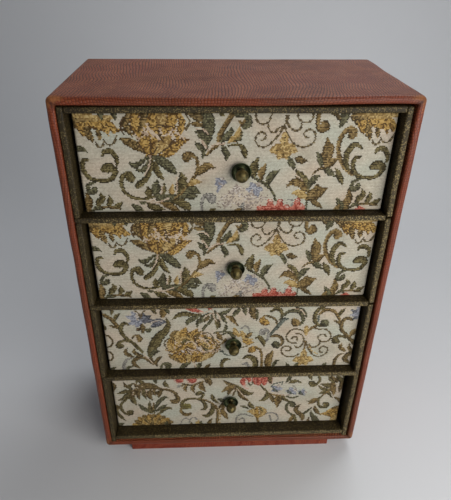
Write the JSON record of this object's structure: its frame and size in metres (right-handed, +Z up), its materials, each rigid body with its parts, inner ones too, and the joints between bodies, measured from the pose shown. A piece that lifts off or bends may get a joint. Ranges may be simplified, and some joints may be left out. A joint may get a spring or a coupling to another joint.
{
  "type": "miniature drawer chest",
  "caption": "Small table-top chest in covered board: leatherette case on an inset plinth, papered shelves, recessed cloth-covered drawers with dish-and-ball brass knobs.",
  "frame": {"origin": "centre of the plinth's underside, the face that the chest stands on", "axes": "+Z up, the longest side; drawers open towards -Y, the front; +X is the right-hand side seen from the front"},
  "size_m": [0.18, 0.1, 0.2559],
  "materials": {
    "leatherette": "red-brown scale-embossed leatherette, satin, worn lighter along the edges",
    "greyboard": "raw greyboard, hidden under its covering",
    "gold_paper": "board covered in pebbled olive-gold paper",
    "tapestry": "woven furnishing cloth, pale ground with a floral scroll pattern",
    "aged_brass": "brass, browned with age",
    "dark_brass": "pressed brass, dark green-black patina"
  },
  "bodies": {
    "cabinet": {"case_top": "greyboard", "case_bottom": "greyboard", "case_left": "greyboard", "case_right": "greyboard", "case_back": "greyboard", "case_cover": "leatherette", "plinth": "leatherette", "liner_top": "gold_paper", "liner_floor": "gold_paper", "liner_back": "gold_paper", "liner_left_1": "gold_paper", "liner_left_2": "gold_paper", "liner_left_3": "gold_paper", "liner_left_4": "gold_paper", "liner_right_1": "gold_paper", "liner_right_2": "gold_paper", "liner_right_3": "gold_paper", "liner_right_4": "gold_paper", "shelf_1": "gold_paper", "shelf_2": "gold_paper", "shelf_3": "gold_paper"},
    "drawer_1": {"drawer_1_front": "greyboard", "drawer_1_cloth": "tapestry", "drawer_1_side_left": "gold_paper", "drawer_1_side_right": "gold_paper", "drawer_1_back": "gold_paper", "drawer_1_floor": "gold_paper", "drawer_1_knob": "aged_brass", "drawer_1_dish": "dark_brass", "drawer_1_split_pin": "aged_brass"},
    "drawer_2": {"drawer_2_front": "greyboard", "drawer_2_cloth": "tapestry", "drawer_2_side_left": "gold_paper", "drawer_2_side_right": "gold_paper", "drawer_2_back": "gold_paper", "drawer_2_floor": "gold_paper", "drawer_2_knob": "aged_brass", "drawer_2_dish": "dark_brass", "drawer_2_split_pin": "aged_brass"},
    "drawer_3": {"drawer_3_front": "greyboard", "drawer_3_cloth": "tapestry", "drawer_3_side_left": "gold_paper", "drawer_3_side_right": "gold_paper", "drawer_3_back": "gold_paper", "drawer_3_floor": "gold_paper", "drawer_3_knob": "aged_brass", "drawer_3_dish": "dark_brass", "drawer_3_split_pin": "aged_brass"},
    "drawer_4": {"drawer_4_front": "greyboard", "drawer_4_cloth": "tapestry", "drawer_4_side_left": "gold_paper", "drawer_4_side_right": "gold_paper", "drawer_4_back": "gold_paper", "drawer_4_floor": "gold_paper", "drawer_4_knob": "aged_brass", "drawer_4_dish": "dark_brass", "drawer_4_split_pin": "aged_brass"}
  },
  "joints": [
    {"name": "drawer_1_slide", "type": "slide", "parent": "cabinet", "child": "drawer_1", "axis": [0, -1, 0], "range_m": [-0.0023, 0.066]},
    {"name": "drawer_2_slide", "type": "slide", "parent": "cabinet", "child": "drawer_2", "axis": [0, -1, 0], "range_m": [-0.0023, 0.066]},
    {"name": "drawer_3_slide", "type": "slide", "parent": "cabinet", "child": "drawer_3", "axis": [0, -1, 0], "range_m": [-0.0023, 0.066]},
    {"name": "drawer_4_slide", "type": "slide", "parent": "cabinet", "child": "drawer_4", "axis": [0, -1, 0], "range_m": [0, 0.068]}
  ]
}
